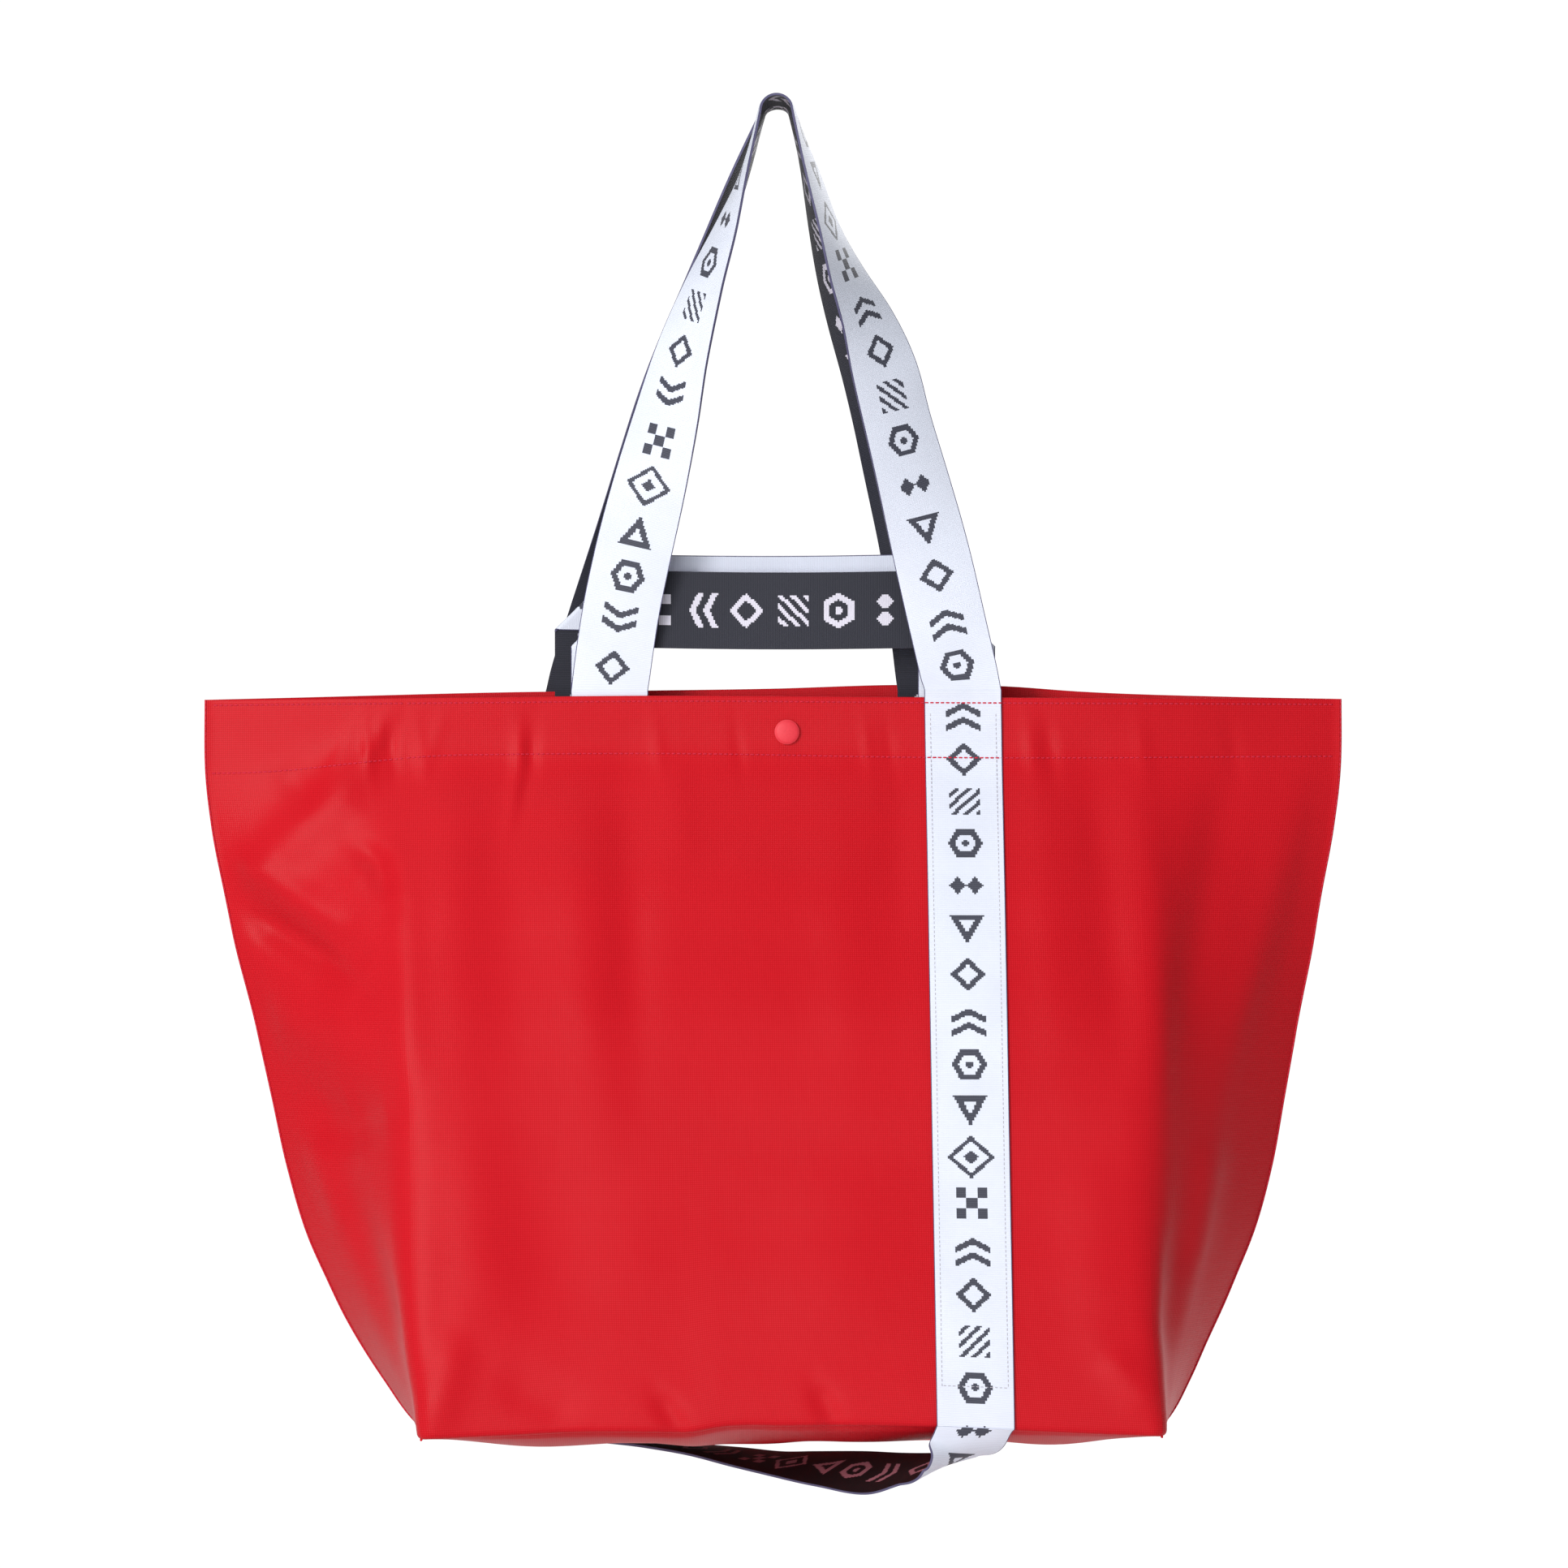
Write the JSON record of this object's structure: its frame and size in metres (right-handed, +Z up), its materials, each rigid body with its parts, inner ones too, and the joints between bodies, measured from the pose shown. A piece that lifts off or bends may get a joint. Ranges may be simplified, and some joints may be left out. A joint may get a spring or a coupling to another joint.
{
  "type": "foldable tote bag",
  "caption": "Foldable cloth tote with a boxed base, long shoulder handles, short grip handles of woven webbing and a press fastener at the mouth.",
  "frame": {"origin": "the hang point: the underside of both long handles at the top of their arches, where a hook or a hand holds them", "axes": "+Z up, +Y towards the back of the bag (the front, with the sewn strap on its right, faces -Y), +X to the right seen from the front"},
  "size_m": [0.7416, 0.2793, 0.9046],
  "materials": {
    "cloth": "glossy coated nylon, fine diamond weave",
    "seam": "folded and topstitched nylon",
    "webbing": "ribbed woven webbing, pale outside with navy motifs, reversed inside",
    "snap_cap": "matte red paint",
    "snap_metal": "nickel plate"
  },
  "bodies": {
    "bag": {"back_hem_facing": "cloth", "back_long_handle_tail": "webbing", "back_panel": "cloth", "back_panel_strap": "webbing", "back_short_handle_tails": "webbing", "back_snap_cap": "snap_cap", "back_snap_stud": "snap_metal", "base_panel": "cloth", "left_back_hem_facing": "cloth", "left_back_side": "cloth", "left_base_seam": "seam", "left_front_hem_facing": "cloth", "left_front_side": "cloth", "left_side_seam": "seam", "right_back_hem_facing": "cloth", "right_back_side": "cloth", "right_base_seam": "seam", "right_front_hem_facing": "cloth", "right_front_side": "cloth", "right_side_seam": "seam", "under_strap": "webbing"},
    "front": {"front_panel": "cloth", "front_hem_facing": "cloth", "front_panel_strap": "webbing", "front_long_handle_tail": "webbing", "front_short_handle_tails": "webbing", "front_snap_cap": "snap_cap", "front_snap_socket": "snap_metal", "front_snap_spring": "snap_metal"},
    "front_short_handle": {"front_short_handle": "webbing"},
    "front_long_handle": {"front_long_handle": "webbing"},
    "back_short_handle": {"back_short_handle": "webbing"},
    "back_long_handle": {"back_long_handle": "webbing"}
  },
  "joints": [
    {"name": "front_panel_tilt", "type": "hinge", "parent": "bag", "child": "front", "pos_m": [0, -0.132, -0.868], "axis": [1, 0, 0], "range_deg": [0, 9]},
    {"name": "front_short_handle_swing", "type": "hinge", "parent": "front", "child": "front_short_handle", "pos_m": [0, -0.0262, -0.387], "axis": [1, 0, 0], "range_deg": [0, 60]},
    {"name": "front_long_handle_swing", "type": "hinge", "parent": "front_short_handle", "child": "front_long_handle", "pos_m": [0, -0.0262, -0.387], "axis": [1, 0, 0], "range_deg": [0, 95]},
    {"name": "back_short_handle_swing", "type": "hinge", "parent": "bag", "child": "back_short_handle", "pos_m": [0, 0.0262, -0.387], "axis": [-1, 0, 0], "range_deg": [0, 60]},
    {"name": "back_long_handle_swing", "type": "hinge", "parent": "back_short_handle", "child": "back_long_handle", "pos_m": [0, 0.0262, -0.387], "axis": [-1, 0, 0], "range_deg": [0, 95]}
  ]
}
